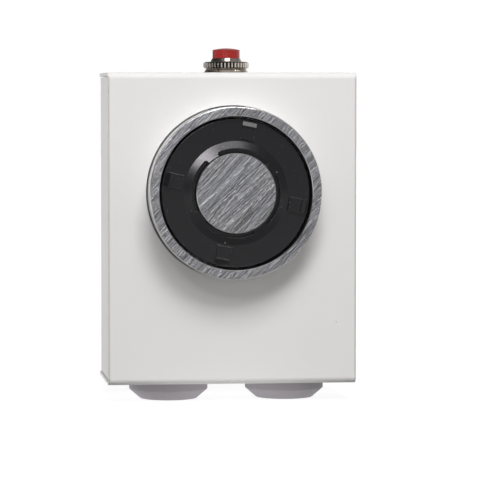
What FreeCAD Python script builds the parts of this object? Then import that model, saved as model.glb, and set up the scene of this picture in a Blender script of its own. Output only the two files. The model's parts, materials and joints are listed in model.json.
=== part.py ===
"""Electromagnetic door holder in a folded steel wall box, with a release push button.

Millimetres. +Z is up, the magnet's pole face looks towards -Y and +X is to the right
seen from the front. The origin is the middle of the rear face that lies on the wall.
"""
import FreeCAD
import Part
import math
import os

# Wall box of two folded steel sheets
box_width = 80.0
box_height = 100.0
box_depth = 38.0
cover_sheet = 1.2
base_sheet = 1.5
bend_inside = 0.8
cut_edge_round = 0.25
seam_gap = 0.3
side_inset = 0.2
bend_relief = 1.0

# Holes for the wall screws in the back plate
wall_hole_diameter = 5.0
wall_hole_spacing_x = 60.0
wall_hole_spacing_z = 80.0

# Folded tabs and the countersunk screws that hold the cover
tab_width = 10.0
tab_reach = 24.0
tab_leg = 6.0
top_screw_offset = 28.0
screw_diameter = 3.0
screw_head_diameter = 5.4
screw_length = 6.0
screw_sink = 0.05
screw_clearance = 0.1
screw_slot_width = 0.7
screw_slot_depth = 0.6
nut_collar_diameter = 4.2
nut_body_diameter = 6.3
nut_body_length = 2.5
nut_collar_length = 1.2
press_clearance = 0.05

# Holding magnet: steel pot and core
magnet_diameter = 55.0
magnet_length = 20.0
magnet_projection = 10.0
magnet_rise = 11.7
magnet_cover_gap = 0.3
pot_wall = 3.05
pot_floor = 4.0
pot_edge_round = 0.45
pole_edge_chamfer = 0.2
core_diameter = 25.4
spigot_diameter = 12.0

# Coil former and winding
former_pot_gap = 0.7
former_core_gap = 0.2
former_tube_wall = 1.3
former_end_gap = 0.1
flange_recess = 1.8
flange_thickness = 2.4
flange_edge_chamfer = 0.3
rear_flange_thickness = 1.5
collar_recess = 0.6
collar_slope_width = 2.4
slot_depth = 3.0
slot_end_round = 0.8
bridge_count = 4
bridge_sweep = 17.0
bridge_first_angle = 33.5
clip_count = 4
clip_first_angle = 78.5
clip_width = 4.6
clip_collar_gap = 0.5
clip_rim_gap = 0.7
clip_rise = 0.7
barb_rise = 1.4
barb_length = 1.9
barb_run_out = 0.55
clip_edge_round = 0.3
winding_gap = 0.1
winding_rim_gap = 1.0

# Bracket that carries the magnet, its screw and rivets
bracket_sheet = 3.0
bracket_width = 40.0
bracket_height = 24.0
bracket_foot = 14.0
bracket_bend_inside = 2.0
magnet_screw_diameter = 6.0
magnet_screw_grip = 10.0
magnet_screw_head_diameter = 10.0
magnet_screw_head_height = 6.0
hex_sides = 6
hex_across_flats = 5.0
hex_depth = 3.0
thread_clearance = 0.1
lock_washer_thickness = 1.6
lock_washer_split = 1.0
key_hole_diameter = 8.0
rivet_diameter = 4.0
rivet_head_diameter = 7.0
rivet_head_height = 1.8
rivet_pitch = 14.0

# Leads and the bush where they leave the pot
lead_diameter = 1.4
lead_pair_spacing = 2.0
lead_exit_inset = 6.45
lead_bush_diameter = 5.6
lead_bush_wall = 0.7
lead_bush_collar = 1.0
lead_bend_share = 0.45
lead_wall_gap = 4.2
lead_lug_overlap = 4.9
lead_lug_drop = 4.2
lead_pass_drop = 3.5
lead_entry_rise = 8.4

# Terminal strip with three poles
pole_count = 3
pole_pitch = 10.0
strip_height = 17.0
strip_depth = 15.0
strip_base_depth = 4.5
strip_end = 4.0
strip_rise = -28.5
tower_width = 7.0
clamp_diameter = 5.0
clamp_bore = 3.6
clamp_length = 15.0
clamp_setback = 7.5
clamp_screw_diameter = 2.8
clamp_screw_head_diameter = 4.0
clamp_screw_head_height = 1.6
clamp_screw_spacing = 8.0
clamp_screw_bite = 0.25
strip_screw_diameter = 2.9
strip_screw_head_diameter = 5.0
strip_screw_head_height = 1.8
strip_screw_end_gap = 0.15
well_clearance = 0.2

# Suppressor diode across two poles
diode_diameter = 2.6
diode_length = 5.2
diode_wire = 0.7
diode_stand_off = 6.0
diode_wire_offset = 1.25

# Release push button
button_travel = 2.0
cap_diameter = 8.85
cap_stand_out = 3.3
cap_stop_gap = 0.2
cap_dome = 0.55
cap_crown = 3.0
cap_wall = 0.9
thread_diameter = 10.0
bush_stand_out = 1.1
bush_chamfer = 0.4
bush_chamfer_height = 0.85
bush_floor_depth = 2.0
bush_floor_thickness = 2.2
bush_shoulder_diameter = 13.0
bush_shoulder_thickness = 2.0
cap_guide_clearance = 0.12
panel_hole_clearance = 0.15
nut_diameter = 14.8
nut_thickness = 2.2
nut_teeth = 40
nut_tooth_depth = 0.5
nut_crest_share = 0.42
nut_root_share = 0.16
nut_chamfer = 0.4
washer_diameter = 14.4
washer_top_diameter = 12.8
washer_thickness = 1.4
washer_rim = 0.25
washer_dish = 0.5
washer_split = 0.5
washer_split_angle = -26.0

# Switch below the button
switch_diameter = 13.0
switch_wall = 1.2
switch_length = 13.8
switch_floor = 2.0
plunger_diameter = 4.0
plunger_clearance = 0.1
plunger_pin_diameter = 2.4
plunger_head_diameter = 3.8
plunger_head_height = 0.6
plunger_cap_depth = 1.9
contact_drop = 2.8
contact_gap = 0.05
contact_diameter = 7.4
contact_thickness = 0.8
strip_metal = 0.5
strip_metal_width = 3.0
contact_side_gap = 0.65
contact_stem_gap = 0.6
lug_length = 7.0
spring_wire = 0.5
spring_wire_sides = 6
spring_diameter = 6.4
spring_turns = 5.0
spring_end_gap = 0.05

# Cable grommets in the bottom of the cover
grommet_spacing = 38.1
grommet_hole_diameter = 20.5
grommet_hole_clearance = 0.2
grommet_flange_diameter = 25.6
grommet_flange_height = 2.9
grommet_height = 6.0
grommet_face_diameter = 18.4
grommet_edge_round = 0.5
grommet_lip_diameter = 23.6
grommet_lip_end_diameter = 20.8
grommet_lip_length = 3.8
grommet_bore = 16.0
grommet_membrane = 1.2
grommet_grip = 0.05

# Places that follow from the driving dimensions
Vec = FreeCAD.Vector
RIGHT = Vec(1, 0, 0)
INWARD = Vec(0, 1, 0)
OUTWARD = Vec(0, -1, 0)
UP = Vec(0, 0, 1)
DOWN = Vec(0, 0, -1)
touch_tolerance = 1e-4

top_face = box_height / 2
bottom_face = -box_height / 2
front_face = -box_depth
middle_depth = -box_depth / 2
base_half_width = box_width / 2 - side_inset
base_half_height = box_height / 2 - cover_sheet - seam_gap
side_wall_front = front_face + cover_sheet + seam_gap
plate_front = -base_sheet
base_bend_outside = bend_inside + base_sheet

pole_plane = front_face - magnet_projection
magnet_back = pole_plane + magnet_length
magnet_radius = magnet_diameter / 2
pot_inner_radius = magnet_radius - pot_wall
pot_cavity = magnet_length - pot_floor
core_radius = core_diameter / 2
spigot_radius = spigot_diameter / 2
pole_centre = Vec(0, pole_plane, magnet_rise)

former_bore_radius = core_radius + former_core_gap
former_tube_radius = former_bore_radius + former_tube_wall
former_radius = pot_inner_radius - former_pot_gap
collar_radius = former_tube_radius + collar_slope_width
flange_back = flange_recess + flange_thickness
former_back = pot_cavity - former_end_gap
rear_flange_front = former_back - rear_flange_thickness

bracket_back = magnet_back + bracket_sheet
lead_exit_height = magnet_rise - pot_inner_radius + lead_exit_inset
strip_top = strip_rise + strip_height / 2
clamp_depth = plate_front - clamp_setback
button_base = Vec(0, middle_depth, top_face)
button_under_panel = -cover_sheet
shoulder_bottom = button_under_panel - bush_shoulder_thickness
nut_bottom = washer_thickness
nut_top = nut_bottom + nut_thickness
bush_top_height = nut_top + bush_stand_out
bush_floor_height = -bush_floor_depth
bush_bottom = bush_floor_height - bush_floor_thickness
cap_top_height = bush_top_height + cap_stand_out
cap_skirt_height = bush_floor_height + button_travel + cap_stop_gap
cap_ceiling = cap_top_height - cap_crown
contact_level = bush_bottom - contact_drop
strip_metal_offset = contact_diameter / 2 + contact_side_gap
strip_metal_inner = plunger_diameter / 2 + contact_stem_gap
guide_radius = cap_diameter / 2 + cap_guide_clearance
switch_bottom = shoulder_bottom - switch_length
lug_bottom = switch_bottom - lug_length

cover_screw_places = [
    (Vec(-top_screw_offset, middle_depth, top_face), DOWN),
    (Vec(top_screw_offset, middle_depth, top_face), DOWN),
    (Vec(0, middle_depth, bottom_face), UP),
]
wall_hole_places = [
    (side * wall_hole_spacing_x / 2, level * wall_hole_spacing_z / 2)
    for side in (-1, 1)
    for level in (-1, 1)
]
rivet_places = [
    (side * (bracket_width / 2 + bracket_foot / 2), magnet_rise + level * rivet_pitch / 2)
    for side in (-1, 1)
    for level in (-1, 1)
]
pole_places = [(index - (pole_count - 1) / 2) * pole_pitch for index in range(pole_count)]
strip_screw_places = [(left + right) / 2 for left, right in zip(pole_places, pole_places[1:])]
clamp_screw_levels = [strip_rise + side * clamp_screw_spacing / 2 for side in (-1, 1)]


def turned(profile, base, axis):
    """Solid turned about an axis from a closed list of (radius, height along the axis)."""
    side = INWARD if abs(axis.dot(UP)) > 0.5 else RIGHT
    points = [base + side * radius + axis * height for radius, height in profile]
    face = Part.Face(Part.makePolygon(points + points[:1]))
    solid = face.revolve(base, axis, 360)
    if solid.Volume < 0:
        solid.reverse()
    return solid


def drilled(shape, radius, start, direction, depth):
    """The shape with a round hole."""
    return shape.cut(Part.makeCylinder(radius, depth, start, direction))


def block(low, high):
    """Box between two opposite corners."""
    return Part.makeBox(high.x - low.x, high.y - low.y, high.z - low.z, low)


def prism(points, path):
    """Closed outline pushed along a vector."""
    return Part.Face(Part.makePolygon(points + points[:1])).extrude(path)


def edges_through(shape, spots):
    """The edges of a shape that pass through the given points."""
    found = []
    for edge in shape.Edges:
        gaps = [edge.distToShape(Part.Vertex(spot))[0] for spot in spots]
        if min(gaps) < touch_tolerance:
            found.append(edge)
    return found


def around(shape, count, first_angle, centre, axis):
    """Copies of a shape evenly spaced about an axis."""
    return [
        shape.rotated(centre, axis, first_angle + index * 360.0 / count)
        for index in range(count)
    ]


def group(shapes):
    """Separate solids in one node."""
    return Part.makeCompound([solid for shape in shapes for solid in shape.Solids])


def front_cover():
    """One sheet folded into front, top and bottom, with its sheared edges left and right."""
    half = box_width / 2
    rear = -seam_gap
    inner_top = top_face - cover_sheet
    inner_front = front_face + cover_sheet
    outline = [
        Vec(-half, rear, top_face),
        Vec(-half, front_face, top_face),
        Vec(-half, front_face, bottom_face),
        Vec(-half, rear, bottom_face),
        Vec(-half, rear, -inner_top),
        Vec(-half, inner_front, -inner_top),
        Vec(-half, inner_front, inner_top),
        Vec(-half, rear, inner_top),
    ]
    sheet = prism(outline, RIGHT * box_width)
    outer_folds = [Vec(0, front_face, top_face), Vec(0, front_face, bottom_face)]
    inner_folds = [Vec(0, inner_front, inner_top), Vec(0, inner_front, -inner_top)]
    sheet = sheet.makeFillet(bend_inside + cover_sheet, edges_through(sheet, outer_folds))
    sheet = sheet.makeFillet(bend_inside, edges_through(sheet, inner_folds))
    bend_point = (bend_inside + cover_sheet) * (1 - math.sqrt(0.5))
    sheared = []
    for side in (-half, half):
        sheared.append(Vec(side, front_face, 0))
        for level in (-1, 1):
            sheared.append(Vec(side, middle_depth, level * top_face))
            sheared.append(Vec(side, front_face + bend_point, level * (top_face - bend_point)))
    sheet = sheet.makeFillet(cut_edge_round, edges_through(sheet, sheared))
    deep = 4 * cover_sheet
    magnet_hole = magnet_radius + magnet_cover_gap
    sheet = drilled(sheet, magnet_hole, Vec(0, front_face - deep / 2, magnet_rise), INWARD, deep)
    button_hole = thread_diameter / 2 + panel_hole_clearance
    sheet = drilled(sheet, button_hole, button_base + UP * deep / 2, DOWN, deep)
    for side in (-1, 1):
        centre = Vec(side * grommet_spacing / 2, middle_depth, bottom_face - deep / 2)
        sheet = drilled(sheet, grommet_hole_diameter / 2, centre, UP, deep)
    for place, inward in cover_screw_places:
        wide = screw_head_diameter / 2 + screw_clearance
        narrow = screw_diameter / 2 + screw_clearance
        sink = Part.makeCone(wide, narrow, wide - narrow, place, inward)
        sheet = sheet.cut(sink)
        sheet = drilled(sheet, narrow, place, inward, deep)
    return sheet


def folded_tab(place, level):
    """Tab of the back plate, folded forward under the cover's top or bottom wall."""
    edge = level * base_half_height
    low = edge - level * (base_bend_outside + bend_relief + tab_leg)
    inner = edge - level * base_sheet
    left = place - tab_width / 2
    outline = [
        Vec(left, 0, low),
        Vec(left, 0, edge),
        Vec(left, -tab_reach, edge),
        Vec(left, -tab_reach, inner),
        Vec(left, plate_front, inner),
        Vec(left, plate_front, low),
    ]
    tab = prism(outline, RIGHT * tab_width)
    tab = tab.makeFillet(base_bend_outside, edges_through(tab, [Vec(place, 0, edge)]))
    return tab.makeFillet(bend_inside, edges_through(tab, [Vec(place, plate_front, inner)]))


def back_plate():
    """One sheet folded into the plate on the wall, two side walls and three cover tabs."""
    half = base_half_width
    low = -base_half_height
    inner = half - base_sheet
    outline = [
        Vec(-half, side_wall_front, low),
        Vec(-half, 0, low),
        Vec(half, 0, low),
        Vec(half, side_wall_front, low),
        Vec(inner, side_wall_front, low),
        Vec(inner, plate_front, low),
        Vec(-inner, plate_front, low),
        Vec(-inner, side_wall_front, low),
    ]
    sheet = prism(outline, UP * 2 * base_half_height)
    sheet = sheet.makeFillet(
        base_bend_outside, edges_through(sheet, [Vec(-half, 0, 0), Vec(half, 0, 0)])
    )
    sheet = sheet.makeFillet(
        bend_inside,
        edges_through(sheet, [Vec(-inner, plate_front, 0), Vec(inner, plate_front, 0)]),
    )
    for place, inward in cover_screw_places:
        level = -inward.z
        notch = base_bend_outside + bend_relief
        reach = tab_width / 2 + bend_relief
        edges = sorted([level * (base_half_height - notch), level * (base_half_height + notch)])
        sheet = sheet.cut(
            block(
                Vec(place.x - reach, plate_front - bend_relief, edges[0]),
                Vec(place.x + reach, bend_relief, edges[1]),
            )
        )
        sheet = sheet.fuse(folded_tab(place.x, level)).removeSplitter()
        collar = nut_collar_diameter / 2 + press_clearance
        sheet = drilled(sheet, collar, place, inward, screw_length)
    deep = 4 * base_sheet
    for x, z in wall_hole_places:
        sheet = drilled(sheet, wall_hole_diameter / 2, Vec(x, deep / 2, z), OUTWARD, deep)
    for x, z in rivet_places:
        rivet_hole = rivet_diameter / 2 + press_clearance
        sheet = drilled(sheet, rivet_hole, Vec(x, deep / 2, z), OUTWARD, deep)
    for x in strip_screw_places:
        screw_hole = strip_screw_diameter / 2 + press_clearance
        sheet = drilled(sheet, screw_hole, Vec(x, deep / 2, strip_rise), OUTWARD, deep)
    key_hole = Vec(0, deep / 2, magnet_rise)
    return drilled(sheet, key_hole_diameter / 2, key_hole, OUTWARD, deep)


def cover_screws():
    """Countersunk screws with a cross slot, flush with the cover."""
    head = screw_head_diameter / 2
    shank = screw_diameter / 2
    under_head = screw_sink + head - shank
    profile = [
        (0, screw_sink),
        (head, screw_sink),
        (shank, under_head),
        (shank, screw_length),
        (0, screw_length),
    ]
    screws = []
    for place, inward in cover_screw_places:
        screw = turned(profile, place, inward)
        for long_x, long_y in ((1, 0), (0, 1)):
            reach_x = shank if long_x else screw_slot_width / 2
            reach_y = shank if long_y else screw_slot_width / 2
            floor = place + inward * (screw_sink + screw_slot_depth)
            ceiling = place - inward * screw_slot_depth
            low = Vec(place.x - reach_x, place.y - reach_y, min(floor.z, ceiling.z))
            high = Vec(place.x + reach_x, place.y + reach_y, max(floor.z, ceiling.z))
            screw = screw.cut(block(low, high))
        screws.append(screw)
    return group(screws)


def cover_nuts():
    """Clinch nuts in the tabs."""
    tab_outer = cover_sheet + seam_gap
    tab_inner = tab_outer + base_sheet
    bore = screw_diameter / 2 + screw_clearance
    profile = [
        (bore, tab_inner - nut_collar_length),
        (nut_collar_diameter / 2, tab_inner - nut_collar_length),
        (nut_collar_diameter / 2, tab_inner),
        (nut_body_diameter / 2, tab_inner),
        (nut_body_diameter / 2, tab_inner + nut_body_length),
        (bore, tab_inner + nut_body_length),
    ]
    return group([turned(profile, place, inward) for place, inward in cover_screw_places])


def magnet_pot():
    """Turned steel pot whose rim is the outer pole."""
    hole = spigot_radius + press_clearance
    chamfer = pole_edge_chamfer
    profile = [
        (pot_inner_radius, chamfer),
        (pot_inner_radius + chamfer, 0),
        (magnet_radius, 0),
        (magnet_radius, magnet_length - pot_edge_round),
        (magnet_radius - pot_edge_round, magnet_length),
        (hole, magnet_length),
        (hole, pot_cavity),
        (pot_inner_radius, pot_cavity),
    ]
    pot = turned(profile, pole_centre, INWARD)
    rim = pole_centre + RIGHT * magnet_radius
    pot = pot.makeFillet(pot_edge_round, edges_through(pot, [rim])[:1])
    lead_hole = lead_bush_diameter / 2 + press_clearance
    start = Vec(0, magnet_back + pot_floor, lead_exit_height)
    return drilled(pot, lead_hole, start, OUTWARD, 2 * pot_floor)


def pole_core():
    """Turned steel core, the inner pole, with a spigot through the pot's floor."""
    chamfer = pole_edge_chamfer
    thread = magnet_screw_diameter / 2 + thread_clearance
    bottom = magnet_length - magnet_screw_grip - thread
    profile = [
        (0, 0),
        (core_radius - chamfer, 0),
        (core_radius, chamfer),
        (core_radius, pot_cavity),
        (spigot_radius, pot_cavity),
        (spigot_radius, magnet_length),
        (thread, magnet_length),
        (thread, bottom + thread),
        (0, bottom),
    ]
    return turned(profile, pole_centre, INWARD)


def former_slots():
    """Curved openings beside the core, left between the bridges of the collar."""
    sweep = 360.0 / bridge_count - bridge_sweep
    floor = collar_recess + slot_depth
    corners = [(core_radius, 0), (former_tube_radius, 0), (former_tube_radius, floor), (core_radius, floor)]
    points = [pole_centre + RIGHT * radius + INWARD * depth for radius, depth in corners]
    face = Part.Face(Part.makePolygon(points + points[:1]))
    slot = face.revolve(pole_centre, OUTWARD, sweep)
    outer_edge = RIGHT * former_tube_radius + INWARD * floor / 2
    far_edge = FreeCAD.Rotation(OUTWARD, sweep).multVec(outer_edge)
    ends = edges_through(slot, [pole_centre + outer_edge, pole_centre + far_edge])
    slot = slot.makeFillet(slot_end_round, ends)
    first = bridge_first_angle + bridge_sweep / 2
    return around(slot, bridge_count, first, pole_centre, OUTWARD)


def former_clip():
    """Snap clip on the front flange: a raised pad and a barb that slopes to the rim."""
    inner = collar_radius + clip_collar_gap
    outer = former_radius - clip_rim_gap
    barb = outer - barb_length
    root = flange_recess + clip_rise
    corners = [
        (inner, root),
        (inner, flange_recess - clip_rise),
        (barb, flange_recess - clip_rise),
        (barb, flange_recess - barb_rise),
        (outer, flange_recess - barb_run_out),
        (outer, root),
    ]
    start = pole_centre - UP * clip_width / 2
    points = [start + RIGHT * radius + INWARD * depth for radius, depth in corners]
    clip = prism(points, UP * clip_width)
    crests = [points[index] + UP * clip_width / 2 for index in (1, 3, 4)]
    return clip.makeFillet(clip_edge_round, edges_through(clip, crests))


def coil_former():
    """Moulded bobbin: collar with curved slots, flanges and four barbed clips."""
    chamfer = flange_edge_chamfer
    profile = [
        (former_bore_radius, collar_recess),
        (collar_radius, flange_recess),
        (former_radius - chamfer, flange_recess),
        (former_radius, flange_recess + chamfer),
        (former_radius, flange_back),
        (former_tube_radius, flange_back),
        (former_tube_radius, rear_flange_front),
        (former_radius, rear_flange_front),
        (former_radius, former_back),
        (former_bore_radius, former_back),
    ]
    former = turned(profile, pole_centre, INWARD)
    for slot in former_slots():
        former = former.cut(slot)
    clips = around(former_clip(), clip_count, clip_first_angle, pole_centre, OUTWARD)
    former = former.fuse(clips).removeSplitter()
    lead_hole = lead_bush_diameter / 2 - lead_bush_wall
    start = Vec(0, pole_plane + former_back + former_end_gap, lead_exit_height)
    return drilled(former, lead_hole, start, OUTWARD, rear_flange_thickness + 2 * former_end_gap)


def coil_winding():
    """Enamelled copper wire, wound between the flanges."""
    inner = former_tube_radius + winding_gap
    outer = former_radius - winding_rim_gap
    front = flange_back + winding_gap
    rear = rear_flange_front - winding_gap
    profile = [(inner, front), (outer, front), (outer, rear), (inner, rear)]
    return turned(profile, pole_centre, INWARD)


def magnet_bracket():
    """Hat-shaped steel strip that carries the magnet on the back plate."""
    low = magnet_rise - bracket_height / 2
    outer = bracket_width / 2
    inner = outer - bracket_sheet
    tip = outer + bracket_foot
    foot_front = plate_front - bracket_sheet
    corners = [
        (-tip, foot_front),
        (-outer, foot_front),
        (-outer, magnet_back),
        (outer, magnet_back),
        (outer, foot_front),
        (tip, foot_front),
        (tip, plate_front),
        (inner, plate_front),
        (inner, bracket_back),
        (-inner, bracket_back),
        (-inner, plate_front),
        (-tip, plate_front),
    ]
    strip = prism([Vec(x, y, low) for x, y in corners], UP * bracket_height)
    tight = [(-outer, foot_front), (outer, foot_front), (inner, bracket_back), (-inner, bracket_back)]
    wide = [(-outer, magnet_back), (outer, magnet_back), (inner, plate_front), (-inner, plate_front)]
    tight_edges = edges_through(strip, [Vec(x, y, magnet_rise) for x, y in tight])
    strip = strip.makeFillet(bracket_bend_inside, tight_edges)
    wide_edges = edges_through(strip, [Vec(x, y, magnet_rise) for x, y in wide])
    strip = strip.makeFillet(bracket_bend_inside + bracket_sheet, wide_edges)
    screw_hole = magnet_screw_diameter / 2 + thread_clearance
    reach = 2 * bracket_sheet
    strip = drilled(strip, screw_hole, Vec(0, bracket_back, magnet_rise), OUTWARD, reach)
    for x, z in rivet_places:
        rivet_hole = rivet_diameter / 2 + press_clearance
        strip = drilled(strip, rivet_hole, Vec(x, plate_front, z), OUTWARD, reach)
    return strip


def bracket_rivets():
    """Rivets with a domed head on the bracket and a flush tail in the back plate."""
    head = rivet_head_diameter / 2
    shank = rivet_diameter / 2
    seat = base_sheet + bracket_sheet
    top = seat + rivet_head_height
    profile = [
        (0, press_clearance),
        (shank, press_clearance),
        (shank, seat),
        (head, seat),
        (head, top),
        (0, top),
    ]
    ball = (head * head + rivet_head_height * rivet_head_height) / (2 * rivet_head_height)
    rivets = []
    for x, z in rivet_places:
        rivet = turned(profile, Vec(x, 0, z), OUTWARD)
        shank_zone = Part.makeCylinder(shank, seat, Vec(x, 0, z), OUTWARD)
        dome = Part.makeSphere(ball, Vec(x, ball - top, z))
        rivets.append(rivet.common(dome.fuse(shank_zone)))
    return group(rivets)


def magnet_lock_washer():
    """Split spring washer under the head of the magnet's screw."""
    bore = magnet_screw_diameter / 2 + thread_clearance
    outer = magnet_screw_head_diameter / 2
    seat = Vec(0, bracket_back, magnet_rise)
    profile = [(bore, 0), (outer, 0), (outer, lock_washer_thickness), (bore, lock_washer_thickness)]
    ring = turned(profile, seat, INWARD)
    split = block(
        Vec(-lock_washer_split / 2, bracket_back, magnet_rise),
        Vec(lock_washer_split / 2, bracket_back + lock_washer_thickness, magnet_rise + outer),
    )
    return ring.cut(split)


def magnet_screw():
    """Socket head screw through the bracket into the core."""
    head_seat = bracket_back + lock_washer_thickness
    shank = magnet_screw_diameter / 2
    head = magnet_screw_head_diameter / 2
    tip = -(head_seat - magnet_back + magnet_screw_grip)
    profile = [
        (0, tip),
        (shank, tip),
        (shank, 0),
        (head, 0),
        (head, magnet_screw_head_height),
        (0, magnet_screw_head_height),
    ]
    screw = turned(profile, Vec(0, head_seat, magnet_rise), INWARD)
    corner = hex_across_flats / 2 / math.cos(math.pi / hex_sides)
    top = head_seat + magnet_screw_head_height
    turns = [2 * math.pi * index / hex_sides for index in range(hex_sides)]
    points = [
        Vec(corner * math.cos(turn), top, magnet_rise + corner * math.sin(turn)) for turn in turns
    ]
    return screw.cut(prism(points, OUTWARD * hex_depth))


def lead_bush():
    """Insulating bush where the leads leave the pot."""
    outer = lead_bush_diameter / 2
    bore = outer - lead_bush_wall
    collar = outer + lead_bush_collar
    profile = [
        (bore, -pot_floor),
        (outer, -pot_floor),
        (outer, press_clearance),
        (collar, press_clearance),
        (collar, lead_bush_collar),
        (bore, lead_bush_collar),
    ]
    return turned(profile, Vec(0, magnet_back, lead_exit_height), INWARD)


def lead(name, route):
    """Insulated wire of straight runs joined by tangent arcs as large as the runs allow."""
    edges = []
    start = route[0]
    for before, corner, after in zip(route, route[1:], route[2:]):
        run_in = corner - before
        run_out = after - corner
        turn = run_in.getAngle(run_out)
        tangent = lead_bend_share * min(run_in.Length, run_out.Length)
        radius = tangent / math.tan(turn / 2)
        print(name, "bend radius", round(radius, 1), "mm")
        way_in = run_in.normalize()
        way_out = run_out.normalize()
        entry = corner - way_in * tangent
        leave = corner + way_out * tangent
        middle = (way_out - way_in).normalize()
        crown = corner + middle * (radius / math.cos(turn / 2) - radius)
        edges.append(Part.LineSegment(start, entry).toShape())
        edges.append(Part.Arc(entry, crown, leave).toShape())
        start = leave
    edges.append(Part.LineSegment(start, route[-1]).toShape())
    path = Part.Wire(edges)
    circle = Part.Circle(route[0], route[1] - route[0], lead_diameter / 2)
    wire = path.makePipeShell([Part.Wire(circle.toShape())], True, True)
    section = math.pi * lead_diameter * lead_diameter / 4
    print(name, "volume over section times length", round(wire.Volume / (section * path.Length), 4))
    return wire


def clamp_front_depth():
    """Where a wire lies under the tip of a clamp's screw."""
    tip = clamp_depth - clamp_bore / 2 + clamp_screw_bite
    return tip + press_clearance + lead_diameter / 2


def coil_lead(name, side, pole):
    """Lead from the winding through the bush and down into the top of a clamp."""
    x = side * lead_pair_spacing / 2
    start = pole_plane + rear_flange_front
    front = clamp_front_depth()
    turn = (magnet_back + front) / 2
    end = strip_top - clamp_screw_spacing / 2
    route = [
        Vec(x, start, lead_exit_height),
        Vec(x, turn, lead_exit_height),
        Vec(pole_places[pole], front, lead_exit_height - lead_diameter),
        Vec(pole_places[pole], front, end),
    ]
    return lead(name, route)


def switch_lead(name, side, pole, behind):
    """Lead from a switch lug, behind the magnet's screw and down into a clamp."""
    x = side * (strip_metal_offset + strip_metal + lead_diameter / 2 + press_clearance)
    lug_z = top_face + lug_bottom
    depth = clamp_front_depth() + behind * (lead_diameter + 2 * press_clearance)
    rear = plate_front - lead_wall_gap
    end = strip_top - clamp_screw_spacing / 2
    route = [
        Vec(x, middle_depth, lug_z + lead_lug_overlap),
        Vec(x, middle_depth, lug_z - lead_lug_drop),
        Vec(x, rear, magnet_rise - lead_pass_drop),
        Vec(pole_places[pole], depth, strip_top + lead_entry_rise),
        Vec(pole_places[pole], depth, end),
    ]
    return lead(name, route)


def terminal_body():
    """Moulded strip with a tower for each pole and wells for the screws."""
    half = pole_places[-1] + strip_end
    low = strip_rise - strip_height / 2
    front = plate_front - strip_depth
    base_front = plate_front - strip_base_depth
    body = block(Vec(-half, base_front, low), Vec(half, plate_front, strip_top))
    for x in pole_places:
        tower = block(
            Vec(x - tower_width / 2, front, low), Vec(x + tower_width / 2, base_front, strip_top)
        )
        body = body.fuse(tower)
    body = body.removeSplitter()
    for x in pole_places:
        bore = clamp_diameter / 2 + press_clearance
        body = drilled(body, bore, Vec(x, clamp_depth, low), UP, strip_height)
        for level in clamp_screw_levels:
            well = clamp_screw_head_diameter / 2 + well_clearance
            body = drilled(body, well, Vec(x, front, level), INWARD, clamp_depth - front)
    for x in strip_screw_places:
        hole = strip_screw_diameter / 2 + screw_clearance
        body = drilled(body, hole, Vec(x, base_front, strip_rise), INWARD, strip_base_depth)
        well = strip_screw_head_diameter / 2 + well_clearance
        body = drilled(body, well, Vec(x, front, strip_rise), INWARD, base_front - front)
    return body


def terminal_clamps():
    """Brass tubes, one for each pole, with two cross holes for the screws."""
    low = strip_rise - clamp_length / 2
    profile = [
        (clamp_bore / 2, 0),
        (clamp_diameter / 2, 0),
        (clamp_diameter / 2, clamp_length),
        (clamp_bore / 2, clamp_length),
    ]
    clamps = []
    for x in pole_places:
        clamp = turned(profile, Vec(x, clamp_depth, low), UP)
        for level in clamp_screw_levels:
            hole = clamp_screw_diameter / 2 + press_clearance
            clamp = drilled(clamp, hole, Vec(x, clamp_depth, level), OUTWARD, clamp_diameter)
        clamps.append(clamp)
    return group(clamps)


def slotted_screw(base, inward, shank, length, head, head_height):
    """Cylinder head screw with a straight slot, its head seated at the base point."""
    profile = [
        (0, length),
        (shank, length),
        (shank, 0),
        (head, 0),
        (head, -head_height),
        (0, -head_height),
    ]
    screw = turned(profile, base, inward)
    top = base - inward * head_height
    low = Vec(base.x - head, top.y, base.z - screw_slot_width / 2)
    high = Vec(base.x + head, top.y + screw_slot_depth, base.z + screw_slot_width / 2)
    return screw.cut(block(low, high))


def terminal_screws():
    """Wire screws, two for each pole."""
    seat = clamp_depth - clamp_diameter / 2 - press_clearance
    length = (clamp_diameter - clamp_bore) / 2 + press_clearance + clamp_screw_bite
    screws = []
    for x in pole_places:
        for level in clamp_screw_levels:
            screws.append(
                slotted_screw(
                    Vec(x, seat, level),
                    INWARD,
                    clamp_screw_diameter / 2,
                    length,
                    clamp_screw_head_diameter / 2,
                    clamp_screw_head_height,
                )
            )
    return group(screws)


def terminal_mount_screws():
    """Screws between the towers that hold the strip on the back plate."""
    seat = plate_front - strip_base_depth
    length = strip_base_depth + base_sheet - strip_screw_end_gap
    screws = []
    for x in strip_screw_places:
        screws.append(
            slotted_screw(
                Vec(x, seat, strip_rise),
                INWARD,
                strip_screw_diameter / 2,
                length,
                strip_screw_head_diameter / 2,
                strip_screw_head_height,
            )
        )
    return group(screws)


def suppressor_diode():
    """Axial diode whose two wires stand in neighbouring clamps."""
    left = pole_places[-2] + diode_wire_offset
    right = pole_places[-1] - diode_wire_offset
    level = strip_top + diode_stand_off
    wire = diode_wire / 2
    middle = (left + right) / 2
    body = Part.makeCylinder(
        diode_diameter / 2, diode_length, Vec(middle - diode_length / 2, clamp_depth, level), RIGHT
    )
    straight = Part.makeCylinder(wire, right - left, Vec(left, clamp_depth, level), RIGHT)
    drop = level - strip_top + clamp_screw_spacing / 2
    legs = [Part.makeCylinder(wire, drop, Vec(x, clamp_depth, level), DOWN) for x in (left, right)]
    knees = [Part.makeSphere(wire, Vec(x, clamp_depth, level)) for x in (left, right)]
    return body.fuse([straight] + legs + knees).removeSplitter()


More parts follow.
